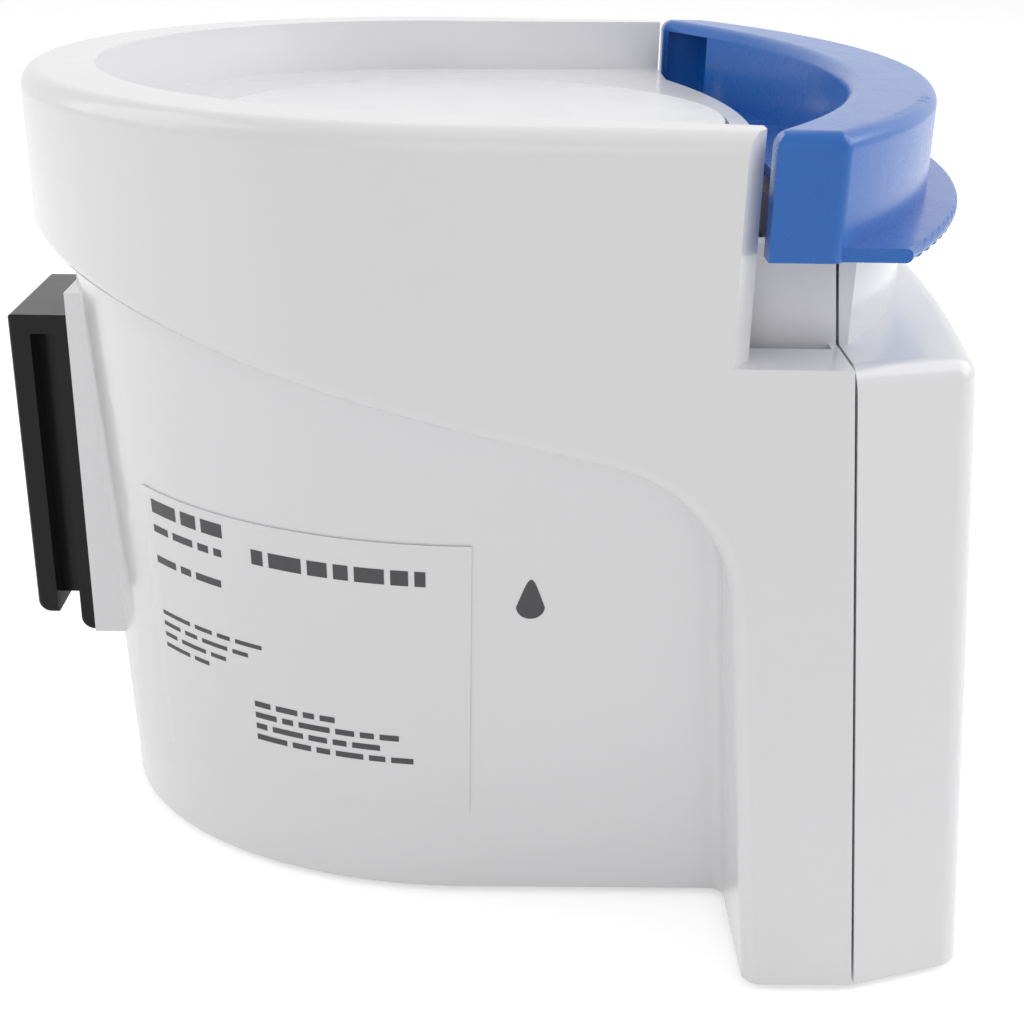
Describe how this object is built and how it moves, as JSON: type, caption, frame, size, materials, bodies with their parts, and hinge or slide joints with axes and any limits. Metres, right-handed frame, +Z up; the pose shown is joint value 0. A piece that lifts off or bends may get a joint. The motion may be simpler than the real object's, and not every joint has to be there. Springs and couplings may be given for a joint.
{
  "type": "heated humidifier base",
  "caption": "Heated respiratory humidifier base with round chamber well, heater plate, spring finger guard, keypad panel and rear mounting rail.",
  "frame": {"origin": "middle of the base face, on the axis of the round chamber well, at the bottom of the feet", "axes": "+Z up along the well axis; -Y is the front with the control panel; +Y is the rear with the mounting rail; +X is the side with the sockets"},
  "size_m": [0.14, 0.1575, 0.1282],
  "materials": {
    "white_plastic": "gloss off-white moulded ABS",
    "guard_blue": "satin blue moulded plastic",
    "panel_film": "fine-textured printed polyester",
    "window_film": "smoked clear polyester",
    "display_glass": "dark display face",
    "board_green": "solder-masked laminate",
    "button_rubber": "soft silicone keys",
    "black_part": "moulded component cases",
    "lamp_lens": "diffusing light pipe",
    "steel": "bright zinc-plated steel",
    "plate_metal": "satin aluminium",
    "gasket_rubber": "matt silicone rubber",
    "element_mica": "mica-faced heating element",
    "sensor_brass": "plated brass",
    "rail_black": "gloss black moulded nylon",
    "socket_shell": "dark grey moulded connector",
    "label_film": "clear-coated polyester label",
    "winding_wrap": "yellow polyester tape over copper winding",
    "fuse_ceramic": "ceramic fuse body in a clip",
    "ribbon_grey": "flat ribbon cable"
  },
  "bodies": {
    "base": {"base_cover": "white_plastic", "buzzer_case": "black_part", "capacitor_1": "black_part", "capacitor_2": "black_part", "cord_gland": "rail_black", "cover_screw_front_left": "steel", "cover_screw_front_right": "steel", "cover_screw_rear_left": "steel", "cover_screw_rear_right": "steel", "display_board": "board_green", "display_module": "display_glass", "display_window": "window_film", "element_clamp": "steel", "foot_front_left": "gasket_rubber", "foot_front_right": "gasket_rubber", "foot_middle": "gasket_rubber", "foot_rear_left": "gasket_rubber", "foot_rear_right": "gasket_rubber", "front_bezel": "white_plastic", "guard_pin_left": "steel", "guard_pin_right": "steel", "guard_spring_left": "steel", "guard_spring_right": "steel", "heat_shield": "plate_metal", "heater_element": "element_mica", "heater_plate": "plate_metal", "heater_wire_socket": "socket_shell", "heater_wire_socket_contacts": "sensor_brass", "lamp_1": "lamp_lens", "lamp_2": "lamp_lens", "lamp_3": "lamp_lens", "lamp_4": "lamp_lens", "main_board": "board_green", "mains_fuse": "fuse_ceramic", "mode_switch": "black_part", "mounting_rail": "rail_black", "mute_switch": "black_part", "panel_overlay": "panel_film", "plate_gasket": "gasket_rubber", "plate_retainer": "steel", "plate_sensor": "sensor_brass", "power_switch": "black_part", "probe_socket": "socket_shell", "probe_socket_contacts": "sensor_brass", "rail_screw_lower": "steel", "rail_screw_upper": "steel", "rating_label": "label_film", "rear_housing": "white_plastic", "relay": "black_part", "ribbon_harness": "ribbon_grey", "thermal_cutout": "black_part", "transformer": "winding_wrap", "transformer_clamp": "steel", "triac_heatsink": "plate_metal"},
    "guard": {"finger_guard": "guard_blue"},
    "mute_key": {"mute_button": "button_rubber"},
    "mode_key": {"mode_button": "button_rubber"},
    "power_key": {"power_button": "button_rubber"}
  },
  "joints": [
    {"name": "guard_slide", "type": "slide", "parent": "base", "child": "guard", "axis": [0, 0, -1], "range_m": [0, 0.01], "stiffness_N_per_m": 600, "springref_m": -0.002, "deforming": ["guard_spring_left", "guard_spring_right"]},
    {"name": "mute_button_press", "type": "slide", "parent": "base", "child": "mute_key", "axis": [0, 0.9951, -0.0993], "range_m": [0, 0.0008], "stiffness_N_per_m": 900, "springref_m": -0.001},
    {"name": "mode_button_press", "type": "slide", "parent": "base", "child": "mode_key", "axis": [0, 0.9951, -0.0993], "range_m": [0, 0.0008], "stiffness_N_per_m": 900, "springref_m": -0.001},
    {"name": "power_button_press", "type": "slide", "parent": "base", "child": "power_key", "axis": [0, 0.9951, -0.0993], "range_m": [0, 0.0008], "stiffness_N_per_m": 900, "springref_m": -0.001}
  ]
}
